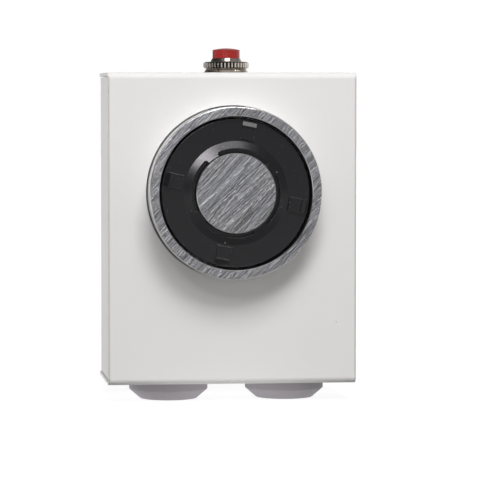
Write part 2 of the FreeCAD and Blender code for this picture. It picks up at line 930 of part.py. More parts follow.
def button_cap():
    """Red cap with a slightly domed top, hollow below for the return spring."""
    outer = cap_diameter / 2
    inner = outer - cap_wall
    socket = plunger_diameter / 2 + press_clearance
    socket_top = cap_ceiling + plunger_cap_depth + press_clearance
    profile = [
        (0, cap_top_height),
        (outer, cap_top_height),
        (outer, cap_skirt_height),
        (inner, cap_skirt_height),
        (inner, cap_ceiling),
        (socket, cap_ceiling),
        (socket, socket_top),
        (0, socket_top),
    ]
    cap = turned(profile, button_base, UP)
    ball = (outer * outer + cap_dome * cap_dome) / (2 * cap_dome)
    return cap.common(Part.makeSphere(ball, button_base + UP * (cap_top_height - ball)))


def button_plunger():
    """Stem from the cap down to the moving contact, swaged over at its lower end."""
    stem = plunger_diameter / 2
    pin = plunger_pin_diameter / 2
    head = plunger_head_diameter / 2
    top = cap_ceiling + plunger_cap_depth
    shoulder = contact_level - contact_gap
    under = shoulder - contact_thickness
    profile = [
        (0, top),
        (stem, top),
        (stem, shoulder),
        (pin, shoulder),
        (pin, under),
        (head, under),
        (head, under - plunger_head_height),
        (0, under - plunger_head_height),
    ]
    return turned(profile, button_base, UP)


def moving_contact():
    """Contact disc that bridges the two fixed contacts until the button is pressed."""
    hole = plunger_pin_diameter / 2 + press_clearance
    top = contact_level - contact_gap
    bottom = top - contact_thickness
    outer = contact_diameter / 2
    return turned([(hole, top), (outer, top), (outer, bottom), (hole, bottom)], button_base, UP)


def return_spring():
    """Compression spring between the floor of the bush and the cap."""
    wire = spring_wire / 2
    mean = spring_diameter / 2 - wire
    low = bush_floor_height + spring_end_gap + wire
    high = cap_ceiling - spring_end_gap - wire
    height = high - low
    helix = Part.makeHelix(height / spring_turns, height, mean)
    turns = [2 * math.pi * index / spring_wire_sides for index in range(spring_wire_sides)]
    points = [Vec(mean + wire * math.sin(turn), 0, wire * math.cos(turn)) for turn in turns]
    section = Part.makePolygon(points + points[:1])
    coil = Part.Wire(helix).makePipeShell([section], True, True)
    return coil.translated(button_base + UP * low)


def button_bush():
    """Threaded bush with a shoulder under the panel and a floor that guides the plunger."""
    outer = thread_diameter / 2
    shoulder = bush_shoulder_diameter / 2
    guide = plunger_diameter / 2 + plunger_clearance
    spigot = switch_diameter / 2 - switch_wall - press_clearance
    profile = [
        (guide_radius, bush_top_height),
        (outer - bush_chamfer, bush_top_height),
        (outer, bush_top_height - bush_chamfer_height),
        (outer, button_under_panel),
        (shoulder, button_under_panel),
        (shoulder, shoulder_bottom),
        (spigot, shoulder_bottom),
        (spigot, bush_bottom),
        (guide, bush_bottom),
        (guide, bush_floor_height),
        (guide_radius, bush_floor_height),
    ]
    return turned(profile, button_base, UP)


def button_nut():
    """Round nut with a straight knurl and chamfered faces."""
    outer = nut_diameter / 2
    root = outer - nut_tooth_depth
    pitch = 360.0 / nut_teeth
    tooth = [
        (outer, -nut_crest_share / 2),
        (outer, nut_crest_share / 2),
        (root, 0.5 - nut_root_share / 2),
        (root, 0.5 + nut_root_share / 2),
    ]
    start = button_base + UP * nut_bottom
    points = []
    for index in range(nut_teeth):
        for radius, share in tooth:
            angle = math.radians((index + share) * pitch)
            points.append(start + Vec(radius * math.cos(angle), radius * math.sin(angle), 0))
    ring = prism(points, UP * nut_thickness)
    inner = outer - nut_tooth_depth - nut_chamfer / 2
    profile = [
        (thread_diameter / 2 + thread_clearance, 0),
        (inner, 0),
        (outer, nut_chamfer),
        (outer, nut_thickness - nut_chamfer),
        (inner, nut_thickness),
        (thread_diameter / 2 + thread_clearance, nut_thickness),
    ]
    return ring.common(turned(profile, start, UP))


def button_washer():
    """Dished spring washer with one split."""
    bore = thread_diameter / 2 + thread_clearance
    outer = washer_diameter / 2
    profile = [
        (bore, washer_dish),
        (outer - washer_dish, 0),
        (outer, 0),
        (outer, washer_rim),
        (washer_top_diameter / 2, washer_thickness),
        (bore, washer_thickness),
    ]
    washer = turned(profile, button_base, UP)
    low = button_base + Vec(-washer_split / 2, -washer_diameter, 0)
    high = button_base + Vec(washer_split / 2, 0, washer_thickness)
    cut = block(low, high).rotated(button_base, UP, washer_split_angle)
    return washer.cut(cut)


def switch_body():
    """Moulded cup that snaps on the bush and holds the two fixed contacts."""
    outer = switch_diameter / 2
    inner = outer - switch_wall
    profile = [
        (inner, shoulder_bottom),
        (outer, shoulder_bottom),
        (outer, switch_bottom),
        (0, switch_bottom),
        (0, switch_bottom + switch_floor),
        (inner, switch_bottom + switch_floor),
    ]
    body = turned(profile, button_base, UP)
    for side in (-1, 1):
        edges = sorted([side * strip_metal_offset, side * (strip_metal_offset + strip_metal)])
        low = button_base + Vec(
            edges[0] - press_clearance,
            -strip_metal_width / 2 - press_clearance,
            switch_bottom,
        )
        high = button_base + Vec(
            edges[1] + press_clearance,
            strip_metal_width / 2 + press_clearance,
            switch_bottom + switch_floor,
        )
        body = body.cut(block(low, high))
    return body


def switch_terminal(side):
    """Bent contact strip: lug below the switch, contact above the moving disc."""
    near = side * strip_metal_offset
    far = side * (strip_metal_offset + strip_metal)
    inner = side * strip_metal_inner
    top = contact_level + strip_metal
    corners = [
        (far, lug_bottom),
        (far, top),
        (inner, top),
        (inner, contact_level),
        (near, contact_level),
        (near, lug_bottom),
    ]
    start = button_base - INWARD * strip_metal_width / 2
    points = [start + Vec(x, 0, z) for x, z in corners]
    return prism(points, INWARD * strip_metal_width)


def cable_grommet(side):
    """Rubber grommet with a closed membrane, clipped into the bottom of the cover."""
    neck = grommet_hole_diameter / 2 - grommet_hole_clearance
    flange = grommet_flange_diameter / 2
    face = grommet_face_diameter / 2
    seat = -cover_sheet - grommet_grip
    profile = [
        (0, grommet_height),
        (face, grommet_height),
        (flange, grommet_flange_height),
        (flange, grommet_grip),
        (neck, grommet_grip),
        (neck, seat),
        (grommet_lip_diameter / 2, seat),
        (grommet_lip_end_diameter / 2, seat - grommet_lip_length),
        (grommet_bore / 2, seat - grommet_lip_length),
        (grommet_bore / 2, grommet_height - grommet_membrane),
        (0, grommet_height - grommet_membrane),
    ]
    base = Vec(side * grommet_spacing / 2, middle_depth, bottom_face)
    grommet = turned(profile, base, DOWN)
    rims = [base + DOWN * height + INWARD * radius for radius, height in profile[1:3]]
    return grommet.makeFillet(grommet_edge_round, edges_through(grommet, rims))


parts = {
    "front_cover": front_cover(),
    "back_plate": back_plate(),
    "cover_screws": cover_screws(),
    "cover_nuts": cover_nuts(),
    "magnet_pot": magnet_pot(),
    "pole_core": pole_core(),
    "coil_former": coil_former(),
    "coil_winding": coil_winding(),
    "magnet_bracket": magnet_bracket(),
    "bracket_rivets": bracket_rivets(),
    "magnet_screw": magnet_screw(),
    "magnet_lock_washer": magnet_lock_washer(),
    "lead_bush": lead_bush(),
    "coil_lead_left": coil_lead("coil_lead_left", -1, 1),
    "coil_lead_right": coil_lead("coil_lead_right", 1, 2),
    "switch_lead_left": switch_lead("switch_lead_left", -1, 0, 0),
    "switch_lead_right": switch_lead("switch_lead_right", 1, 1, 1),
    "terminal_body": terminal_body(),
    "terminal_clamps": terminal_clamps(),
    "terminal_screws": terminal_screws(),
    "terminal_mount_screws": terminal_mount_screws(),
    "suppressor_diode": suppressor_diode(),
    "button_cap": button_cap(),
    "button_plunger": button_plunger(),
    "moving_contact": moving_contact(),
    "return_spring": return_spring(),
    "button_bush": button_bush(),
    "button_nut": button_nut(),
    "button_washer": button_washer(),
    "switch_body": switch_body(),
    "switch_terminal_left": switch_terminal(-1),
    "switch_terminal_right": switch_terminal(1),
    "grommet_left": cable_grommet(-1),
    "grommet_right": cable_grommet(1),
}

os.makedirs("parts", exist_ok=True)
for node, shape in parts.items():
    shape.exportStep("parts/" + node + ".step")
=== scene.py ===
"""Looks of the electromagnetic door holder: finishes, studio light and camera.

Metres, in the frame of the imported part: +Z up, the pole face looks towards -Y.
"""
import bpy
import json
import math
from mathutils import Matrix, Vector

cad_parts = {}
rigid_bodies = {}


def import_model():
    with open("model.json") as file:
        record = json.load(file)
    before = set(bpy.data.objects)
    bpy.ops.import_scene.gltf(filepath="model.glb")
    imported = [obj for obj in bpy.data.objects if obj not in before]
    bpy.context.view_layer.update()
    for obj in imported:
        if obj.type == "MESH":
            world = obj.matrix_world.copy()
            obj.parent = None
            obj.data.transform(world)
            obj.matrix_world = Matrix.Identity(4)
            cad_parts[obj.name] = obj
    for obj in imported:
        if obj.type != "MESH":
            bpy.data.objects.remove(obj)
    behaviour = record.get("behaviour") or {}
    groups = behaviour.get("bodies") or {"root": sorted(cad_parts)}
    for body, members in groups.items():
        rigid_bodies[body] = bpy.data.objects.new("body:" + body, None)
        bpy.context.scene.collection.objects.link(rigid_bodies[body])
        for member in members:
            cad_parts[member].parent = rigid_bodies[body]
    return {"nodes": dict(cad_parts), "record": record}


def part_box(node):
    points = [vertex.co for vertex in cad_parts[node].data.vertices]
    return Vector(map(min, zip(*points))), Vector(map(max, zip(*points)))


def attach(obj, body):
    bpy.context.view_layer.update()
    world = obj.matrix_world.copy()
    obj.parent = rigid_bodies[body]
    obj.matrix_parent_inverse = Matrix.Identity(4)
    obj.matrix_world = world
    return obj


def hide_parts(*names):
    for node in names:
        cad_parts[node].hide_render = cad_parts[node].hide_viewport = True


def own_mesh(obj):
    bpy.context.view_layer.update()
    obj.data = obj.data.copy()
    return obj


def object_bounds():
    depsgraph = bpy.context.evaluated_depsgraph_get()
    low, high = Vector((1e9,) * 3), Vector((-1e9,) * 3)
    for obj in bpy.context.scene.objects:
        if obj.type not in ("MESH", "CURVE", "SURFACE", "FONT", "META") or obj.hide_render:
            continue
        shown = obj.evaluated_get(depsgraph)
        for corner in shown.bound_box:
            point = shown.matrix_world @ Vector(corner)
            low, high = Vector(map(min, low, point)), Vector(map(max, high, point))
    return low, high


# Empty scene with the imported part
for leftover in list(bpy.data.objects):
    bpy.data.objects.remove(leftover)
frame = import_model()
cad_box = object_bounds()
nodes = frame["nodes"]

MM = 0.001

# Places read from the frame
pot_low, pot_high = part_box("magnet_pot")
pole_plane = pot_low.y
magnet_centre = (pot_low + pot_high) / 2
cap_low, cap_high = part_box("button_cap")
button_axis = (cap_low + cap_high) / 2
nut_low, nut_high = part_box("button_nut")
nut_radius = (nut_high.x - nut_low.x) / 2
spring_low, spring_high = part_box("return_spring")
diode_low, diode_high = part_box("suppressor_diode")
diode_middle = (diode_low.x + diode_high.x) / 2
cover_low, cover_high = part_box("front_cover")
cover_half_width = (cover_high.x - cover_low.x) / 2

# Camera of the photograph
camera_place = Vector((-0.10416, -0.938, 0.0423))
camera_turn_right = 0.11723
camera_tilt_up = -0.05183
camera_lens = 209.35
sensor_size = 36.0
clip_near = 0.01
clip_far = 50.0

# Ranges of noise values that a roughness follows, and that break a surface into patches
noise_range = (0.3, 0.7)
patch_range = (0.38, 0.62)

# Ground strokes of the pole faces: angle seen from the front, and the lean of each crossed set
stroke_angle = math.radians(47.0)
stroke_leans = (0.0, 0.14, -0.11)
stroke_line_shift = 40.0
stroke_patch_shift = 70.0
stroke_bundle = 0.6
stroke_faintest = 0.15
stroke_range = (-0.075, 0.085)
scratch_range = (0.115, 0.20)
tint_range = (-0.16, 0.16)

# Cosines between a flat face and its rounded edge, where the edge mask of wear and painted edge
# light starts and is full
edge_turn = (0.995, 0.86)

# Share of -Y in the normals of a face that starts to look to the front, and does so fully
front_turn = (-0.86, -0.97)

# Painted shade at the cover's side seams: where it starts and is full, from the edge, and how
# strong it is
seam_start = 0.8 * MM
seam_full = 0.1 * MM
seam_share = 0.65

# Button's nut: depths at which painted shade darkens the roots of the knurl, and margins at its two
# faces
root_start = 0.12 * MM
root_full = 0.34 * MM
nut_margin = 0.02 * MM
bush_margin = 0.05 * MM

# Diode: half length and height of its case, and the band from its middle
case_half_length = 2.65 * MM
case_height = 2.7 * MM
band_near = 1.3 * MM
band_far = 2.1 * MM

# Return spring
spring_turns = 5
spring_wire = 0.5 * MM
spring_steps = 40
spring_sides = 10

# Floor, and its glow by the distance from the part: as light, to the camera and in gloss
floor_reach = 4.0
floor_gap = 0.1 * MM
bounce_reach = (0.030, 0.060)
bounce_glow = (0.70, 0.0)
white_reach = (0.10, 0.45)
white_glow = (0.86, 1.0)
shine_glow = (0.35, 1.0)

# Front half of the room: ranges of direction, and brightness from one end to the other
fill_rise = (0.10, 0.50)
fill_tone = (0.82, 0.04)
gloss_turn = (-0.7, -0.42)
gloss_tone = (0.10, 0.42)
right_turn = (0.40, 0.60)

# Rear half of the room: brightness of each side as light and in gloss, and its fall to the top
behind_turn = (0.0, 0.35)
rear_turn = (-0.2, 0.4)
rear_left_tone = (0.5, 0.16)
rear_right_tone = (0.4, 0.78)
rear_rise = (0.2, 0.6)
rear_fall = (1.2, 0.3)


def place(tree, kind, inputs=None, **settings):
    """Shader node with its settings, and inputs that are values or other nodes' outputs."""
    node = tree.nodes.new(kind)
    for name, value in settings.items():
        setattr(node, name, value)
    for name, value in (inputs or {}).items():
        if isinstance(value, bpy.types.NodeSocket):
            tree.links.new(value, node.inputs[name])
        else:
            node.inputs[name].default_value = value
    return node


def feed(tree, node, **sockets):
    """Outputs of other nodes joined to a node's sockets."""
    for label, output in sockets.items():
        tree.links.new(output, node.inputs[label.replace("_", " ")])


def calc(tree, operation, *values):
    """Output of a math node."""
    return place(tree, "ShaderNodeMath", dict(enumerate(values)), operation=operation).outputs[0]


def vector_calc(tree, operation, *values):
    """Outputs of a vector math node."""
    inputs = dict(enumerate(values))
    return place(tree, "ShaderNodeVectorMath", inputs, operation=operation).outputs


def axes_of(tree, vector):
    """X, Y and Z of a vector."""
    return place(tree, "ShaderNodeSeparateXYZ", {"Vector": vector}).outputs


def point_of(tree, x, y, z):
    """Vector made of three values."""
    return place(tree, "ShaderNodeCombineXYZ", {"X": x, "Y": y, "Z": z}).outputs[0]


def ramp(tree, value, low, high, start=0.0, end=1.0):
    """Value moved smoothly from one range to another."""
    inputs = {"Value": value, "From Min": low, "From Max": high, "To Min": start, "To Max": end}
    node = place(tree, "ShaderNodeMapRange", inputs, interpolation_type="SMOOTHSTEP")
    return node.outputs["Result"]


def noise_of(tree, point, scale, detail):
    """Smooth noise at a point."""
    inputs = {"Vector": point, "Scale": scale, "Detail": detail}
    return place(tree, "ShaderNodeTexNoise", inputs).outputs[0]


def follow(tree, noise, low, high):
    """Value, such as a roughness, that follows a noise."""
    return ramp(tree, noise, *noise_range, low, high)


def choose(tree, share, first, second):
    """Two values mixed by a share."""
    return place(tree, "ShaderNodeMix", {0: share, 2: first, 3: second}).outputs[0]


def blend(tree, share, first, second):
    """Two colours mixed by a share."""
    node = place(tree, "ShaderNodeMix", {0: share, 6: first, 7: second}, data_type="RGBA")
    return node.outputs[2]


def lay_over(tree, tone, mask, share, over):
    """Tone with another colour laid over it where a mask is, up to a share."""
    return blend(tree, calc(tree, "MULTIPLY", mask, share), tone, over)


def colour(red, green, blue):
    """Colour value with full opacity."""
    return (red, green, blue, 1.0)


def own_place(tree):
    """Point of the surface in the part's own frame, in metres."""
    return tree.nodes.new("ShaderNodeTexCoord").outputs["Object"]


def effect(name, inputs, outputs):
    """Empty shader node group with its sockets; returns the tree, its input and output nodes."""
    tree = bpy.data.node_groups.new(name, "ShaderNodeTree")
    for label, value in inputs.items():
        kind = "NodeSocketVector" if isinstance(value, tuple) else "NodeSocketFloat"
        socket = tree.interface.new_socket(label, in_out="INPUT", socket_type=kind)
        socket.default_value = value
    for label in outputs:
        tree.interface.new_socket(label, in_out="OUTPUT", socket_type="NodeSocketFloat")
    return tree, tree.nodes.new("NodeGroupInput").outputs, tree.nodes.new("NodeGroupOutput")


def make_grain():
    """Fine and broad noise of a painted, moulded or cast surface."""
    tree, given, made = effect("surface_grain", {"Scale": 1000.0}, ["Fine", "Broad"])
    point = own_place(tree)
    broad_scale = calc(tree, "MULTIPLY", given["Scale"], 0.06)
    fine = noise_of(tree, point, given["Scale"], 3.0)
    broad = noise_of(tree, point, broad_scale, 2.0)
    feed(tree, made, Fine=fine, Broad=broad)
    return tree


def make_specks():
    """Scattered small specks of dust or grit, each with a size and strength by lot."""
    inputs = {"Scale": 300.0, "Size": 0.12, "Share": 0.3}
    tree, given, made = effect("scattered_specks", inputs, ["Mask"])
    inputs = {"Vector": own_place(tree), "Scale": given["Scale"]}
    cells = place(tree, "ShaderNodeTexVoronoi", inputs, feature="F1")
    lot = place(tree, "ShaderNodeSeparateColor", {"Color": cells.outputs["Color"]}).outputs
    size = calc(tree, "MULTIPLY", given["Size"], lot["Green"])
    core = calc(tree, "MULTIPLY", size, 0.5)
    dot = ramp(tree, cells.outputs["Distance"], size, core)
    chosen = calc(tree, "LESS_THAN", lot["Red"], given["Share"])
    strength = calc(tree, "MULTIPLY", dot, chosen)
    feed(tree, made, Mask=calc(tree, "MULTIPLY", strength, lot["Blue"]))
    return tree


def stroke_set(tree, given, lean):
    """One set of parallel strokes that come and go in patches, above and below zero."""
    turn = calc(tree, "ADD", given["Turn"], lean)
    inputs = {"Vector": own_place(tree), "Angle": turn}
    turned = place(tree, "ShaderNodeVectorRotate", inputs, rotation_type="Y_AXIS")
    axes = axes_of(tree, turned.outputs[0])
    along = calc(tree, "MULTIPLY", axes["X"], given["Along"])
    across = calc(tree, "MULTIPLY", axes["Z"], given["Across"])
    grid = point_of(tree, along, lean * stroke_line_shift, across)
    lines = noise_of(tree, grid, 1.0, 1.0)
    length = calc(tree, "MULTIPLY", axes["X"], given["Break"])
    bundle = calc(tree, "MULTIPLY", across, stroke_bundle)
    grid = point_of(tree, length, lean * stroke_patch_shift, bundle)
    patch = noise_of(tree, grid, 1.0, 1.0)
    share = ramp(tree, patch, *patch_range, stroke_faintest, 1.0)
    return calc(tree, "MULTIPLY", calc(tree, "SUBTRACT", lines, 0.5), share)


def make_strokes():
    """Straight grinding strokes in three slightly crossed sets, on a face that looks along Y."""
    inputs = {"Turn": 0.0, "Along": 30.0, "Across": 9000.0, "Break": 900.0}
    tree, given, made = effect("straight_strokes", inputs, ["Stroke", "Scratch", "Tint"])
    first, second, third = [stroke_set(tree, given, lean) for lean in stroke_leans]
    together = calc(tree, "ADD", calc(tree, "ADD", first, second), third)
    brightest = calc(tree, "MAXIMUM", first, third)
    apart = calc(tree, "SUBTRACT", first, second)
    stroke = ramp(tree, together, *stroke_range)
    scratch = ramp(tree, brightest, *scratch_range)
    tint = ramp(tree, apart, *tint_range)
    feed(tree, made, Stroke=stroke, Scratch=scratch, Tint=tint)
    return tree


def make_edge_wear_and_painted_light():
    """Mask of outer edges, broken up by noise down to an even share: rubbed wear on most finishes,
    painted shade on the powder coat, partly painted highlight on the black moulding.
    """
    inputs = {"Width": 0.3 * MM, "Patch": 900.0, "Even": 0.0}
    tree, given, made = effect("edge_wear_and_painted_light", inputs, ["Mask"])
    rounded = place(tree, "ShaderNodeBevel", {"Radius": given["Width"]}, samples=4).outputs[0]
    flat = tree.nodes.new("ShaderNodeNewGeometry").outputs["Normal"]
    facing = vector_calc(tree, "DOT_PRODUCT", rounded, flat)["Value"]
    edge = ramp(tree, facing, *edge_turn)
    broken = ramp(tree, noise_of(tree, own_place(tree), given["Patch"], 3.0), *patch_range)
    share = calc(tree, "MAXIMUM", broken, given["Even"])
    feed(tree, made, Mask=calc(tree, "MULTIPLY", edge, share))
    return tree


def make_turning_marks():
    """Marks of a lathe: noise by the distance from a centre, along the axes that Flatten keeps."""
    inputs = {"Centre": (0.0, 0.0, 0.0), "Flatten": (1.0, 0.0, 1.0), "Scale": 4000.0}
    tree, given, made = effect("turning_rings", inputs, ["Ring", "Reach"])
    offset = vector_calc(tree, "SUBTRACT", own_place(tree), given["Centre"])["Vector"]
    flat = vector_calc(tree, "MULTIPLY", offset, given["Flatten"])["Vector"]
    reach = vector_calc(tree, "LENGTH", flat)["Value"]
    inputs = {"W": reach, "Scale": given["Scale"], "Detail": 2.0}
    ring = place(tree, "ShaderNodeTexNoise", inputs, noise_dimensions="1D").outputs[0]
    feed(tree, made, Ring=ring, Reach=reach)
    return tree


effects = {
    "grain": make_grain(),
    "specks": make_specks(),
    "strokes": make_strokes(),
    "wear_and_painted_light": make_edge_wear_and_painted_light(),
    "rings": make_turning_marks(),
}


def use(tree, name, **values):
    """One of the shared effects, placed in a material with its own values."""
    node = place(tree, "ShaderNodeGroup", node_tree=effects[name])
    for label, value in values.items():
        node.inputs[label].default_value = value
    return node.outputs


def finish(name, **sockets):
    """New material with its Principled shader; plain values go straight on its sockets."""
    material = bpy.data.materials.new(name)
    material.use_nodes = True
    tree = material.node_tree
    shader = tree.nodes["Principled BSDF"]
    for label, value in sockets.items():
        shader.inputs[label.replace("_", " ")].default_value = value
    return material, tree, shader


def relief(tree, height, depth, below=None):
    """Bump from a height, as deep as the given size, on the surface or on another normal."""
    inputs = {"Height": height, "Strength": 1.0, "Distance": depth}
    if below is not None:
        inputs["Normal"] = below
    return place(tree, "ShaderNodeBump", inputs).outputs["Normal"]


def facing_front(tree):
    """Share of the surface that looks along -Y."""
    normal = tree.nodes.new("ShaderNodeNewGeometry").outputs["True Normal"]
    return ramp(tree, axes_of(tree, normal)["Y"], *front_turn)


def white_powder_coat():
    """White powder coat: faint orange peel, dust specks, painted shade on the edges and along the
    side seams.
    """
    paint_low, paint_high = colour(0.745, 0.738, 0.722), colour(0.775, 0.768, 0.752)
    edge_shade = colour(0.36, 0.345, 0.33)
    seam_shade = colour(0.30, 0.285, 0.27)
    dust_grey = colour(0.36, 0.35, 0.34)
    material, tree, shader = finish("white_powder_coat", IOR=1.5, Specular_IOR_Level=0.12)
    grain = use(tree, "grain", Scale=1400.0)
    cloud = use(tree, "grain", Scale=420.0)
    dust = use(tree, "specks", Scale=210.0, Size=0.085, Share=0.28)
    wear_and_painted_light = use(tree, "wear_and_painted_light", Width=0.6 * MM, Patch=700.0, Even=0.8)
    # Painted shade: a dark strip on the front face along the cover's side seams
    sideways = calc(tree, "ABSOLUTE", axes_of(tree, own_place(tree))["X"])
    start, full = cover_half_width - seam_start, cover_half_width - seam_full
    seam = ramp(tree, sideways, start, full, 0.0, seam_share)
    tone = blend(tree, cloud["Broad"], paint_low, paint_high)
    # Painted shade: the edges darkened almost evenly, for dark edge lines
    tone = lay_over(tree, tone, wear_and_painted_light["Mask"], 0.80, edge_shade)
    tone = lay_over(tree, tone, seam, facing_front(tree), seam_shade)
    tone = lay_over(tree, tone, dust["Mask"], 0.8, dust_grey)
    rough = follow(tree, grain["Fine"], 0.52, 0.62)
    normal = relief(tree, grain["Fine"], 0.010 * MM)
    feed(tree, shader, Base_Color=tone, Roughness=rough, Normal=normal)
    return material


def ground_steel():
    """Plated steel: ground straight on the pole faces, turned bright on the rim and wall."""
    dark_cool, dark_warm = colour(0.045, 0.050, 0.062), colour(0.062, 0.057, 0.050)
    pale_cool, pale_warm = colour(0.275, 0.29, 0.33), colour(0.305, 0.295, 0.275)
    bare_scratch = colour(0.90, 0.90, 0.89)
    turned_low, turned_high = colour(0.52, 0.53, 0.53), colour(0.60, 0.60, 0.59)
    material, tree, shader = finish("ground_steel", Metallic=1.0)
    strokes = use(tree, "strokes", Turn=stroke_angle)
    rings = use(tree, "rings", Centre=tuple(magnet_centre), Flatten=(0.0, 1.0, 0.0), Scale=2500.0)
    cloud = use(tree, "grain", Scale=900.0)
    face = facing_front(tree)
    dark = blend(tree, strokes["Tint"], dark_cool, dark_warm)
    pale = blend(tree, strokes["Tint"], pale_cool, pale_warm)
    ground = blend(tree, strokes["Stroke"], dark, pale)
    ground = blend(tree, strokes["Scratch"], ground, bare_scratch)
    turned = blend(tree, cloud["Broad"], turned_low, turned_high)
    tone = blend(tree, face, turned, ground)
    ground_rough = ramp(tree, strokes["Stroke"], 0.0, 1.0, 0.46, 0.30)
    turned_rough = follow(tree, rings["Ring"], 0.18, 0.28)
    rough = choose(tree, face, turned_rough, ground_rough)
    height = calc(tree, "MULTIPLY", strokes["Stroke"], face)
    normal = relief(tree, height, 0.008 * MM)
    feed(tree, shader, Base_Color=tone, Roughness=rough, Normal=normal)
    return material


def plain_metal(name, light, dark, rough_low, rough_high):
    """Plated or bare metal with a cloudy tone and rubbed edges."""
    rubbed = colour(0.80, 0.80, 0.79)
    material, tree, shader = finish(name, Metallic=1.0)
    grain = use(tree, "grain", Scale=2200.0)
    wear_and_painted_light = use(tree, "wear_and_painted_light", Width=0.25 * MM, Patch=1500.0)
    tone = blend(tree, ramp(tree, grain["Broad"], 0.35, 0.65), dark, light)
    tone = blend(tree, wear_and_painted_light["Mask"], tone, rubbed)
    rough = follow(tree, grain["Fine"], rough_low, rough_high)
    normal = relief(tree, grain["Fine"], 0.004 * MM)
    feed(tree, shader, Base_Color=tone, Roughness=rough, Normal=normal)
    return material


def black_moulding():
    """Black moulded plastic with a fine grain, light dust, rounded edges that catch the light, and
    lighter edges that are partly wear and partly painted highlight.
    """
    black_low, black_high = colour(0.004, 0.0036, 0.0046), colour(0.007, 0.0063, 0.008)
    rubbed = colour(0.10, 0.10, 0.12)
    dust_grey = colour(0.20, 0.20, 0.21)
    lint_white = colour(0.62, 0.62, 0.58)
    material, tree, shader = finish("black_moulding", IOR=1.5, Specular_IOR_Level=0.28)
    grain = use(tree, "grain", Scale=3200.0)
    dust = use(tree, "specks", Scale=900.0, Size=0.24, Share=0.55)
    lint = use(tree, "specks", Scale=260.0, Size=0.06, Share=0.40)
    wear_and_painted_light = use(tree, "wear_and_painted_light", Width=0.28 * MM, Patch=1200.0)
    tone = blend(tree, grain["Broad"], black_low, black_high)
    # Lighter edges: partly wear, partly painted highlight
    tone = lay_over(tree, tone, wear_and_painted_light["Mask"], 0.50, rubbed)
    tone = lay_over(tree, tone, dust["Mask"], 0.70, dust_grey)
    tone = lay_over(tree, tone, lint["Mask"], 0.80, lint_white)
    rough = follow(tree, grain["Fine"], 0.19, 0.26)
    rounded = place(tree, "ShaderNodeBevel", {"Radius": 0.22 * MM}, samples=8).outputs[0]
    normal = relief(tree, grain["Fine"], 0.006 * MM, rounded)
    feed(tree, shader, Base_Color=tone, Roughness=rough, Normal=normal)
    return material


def copper_wire():
    """Enamelled wire laid turn beside turn, with painted shade in the gaps between turns."""
    gap, crown = colour(0.26, 0.085, 0.03), colour(0.62, 0.26, 0.11)
    enamel = {"Coat_Weight": 0.6, "Coat_Roughness": 0.12}
    material, tree, shader = finish("copper_wire", Metallic=1.0, **enamel)
    grain = use(tree, "grain", Scale=1800.0)
    inputs = {"Vector": own_place(tree), "Scale": 620.0, "Distortion": 0.4}
    turns = place(tree, "ShaderNodeTexWave", inputs, bands_direction="Y").outputs[1]
    # Painted shade: dark in the gaps between turns, copper on the crowns
    tone = blend(tree, turns, gap, crown)
    rough = follow(tree, grain["Fine"], 0.24, 0.36)
    normal = relief(tree, turns, 0.08 * MM)
    feed(tree, shader, Base_Color=tone, Roughness=rough, Normal=normal)
    return material


def nickel_plate():
    """Bright nickel plate with a warm tone: painted shade in the roots of the knurl, duller off the
    nut.
    """
    nut_low_tone, nut_high_tone = colour(0.76, 0.705, 0.64), colour(0.88, 0.83, 0.77)
    bush_low_tone, bush_high_tone = colour(0.20, 0.185, 0.165), colour(0.34, 0.32, 0.29)
    washer_low_tone, washer_high_tone = colour(0.46, 0.42, 0.375), colour(0.60, 0.56, 0.51)
    root_shade = colour(0.02, 0.018, 0.017)
    loose_dirt = colour(0.12, 0.10, 0.08)
    material, tree, shader = finish("nickel", Metallic=1.0)
    rings = use(tree, "rings", Centre=tuple(button_axis), Flatten=(1.0, 1.0, 0.0), Scale=3000.0)
    grain = use(tree, "grain", Scale=2600.0)
    dirt = use(tree, "specks", Scale=900.0, Size=0.22, Share=0.35)
    root = ramp(tree, rings["Reach"], nut_radius - root_start, nut_radius - root_full)
    level = axes_of(tree, own_place(tree))["Z"]
    below_top = calc(tree, "LESS_THAN", level, nut_high.z - nut_margin)
    above_foot = calc(tree, "GREATER_THAN", level, nut_low.z + nut_margin)
    on_bush = calc(tree, "GREATER_THAN", level, nut_high.z + bush_margin)
    knurl = calc(tree, "MULTIPLY", below_top, above_foot)
    nut_tone = blend(tree, grain["Broad"], nut_low_tone, nut_high_tone)
    bush_tone = blend(tree, grain["Broad"], bush_low_tone, bush_high_tone)
    washer_tone = blend(tree, grain["Broad"], washer_low_tone, washer_high_tone)
    tone = blend(tree, on_bush, nut_tone, bush_tone)
    tone = blend(tree, above_foot, washer_tone, tone)
    # Painted shade: the roots of the knurl darkened
    tone = lay_over(tree, tone, root, knurl, root_shade)
    tone = lay_over(tree, tone, dirt["Mask"], 0.5, loose_dirt)
    rough = follow(tree, grain["Fine"], 0.08, 0.18)
    normal = relief(tree, rings["Ring"], 0.003 * MM)
    feed(tree, shader, Base_Color=tone, Roughness=rough, Normal=normal)
    return material


def red_plastic():
    """Red moulded cap, semi-gloss, with a scuffed rim."""
    red_low, red_high = colour(0.25, 0.011, 0.0085), colour(0.32, 0.0155, 0.0115)
    scuffed = colour(0.52, 0.12, 0.12)
    material, tree, shader = finish("red_plastic", IOR=1.5, Specular_IOR_Level=0.35)
    grain = use(tree, "grain", Scale=1500.0)
    wear_and_painted_light = use(tree, "wear_and_painted_light", Width=0.35 * MM, Patch=1600.0)
    tone = blend(tree, grain["Broad"], red_low, red_high)
    tone = lay_over(tree, tone, wear_and_painted_light["Mask"], 0.35, scuffed)
    rough = follow(tree, grain["Fine"], 0.22, 0.30)
    normal = relief(tree, grain["Fine"], 0.006 * MM)
    feed(tree, shader, Base_Color=tone, Roughness=rough, Normal=normal)
    return material


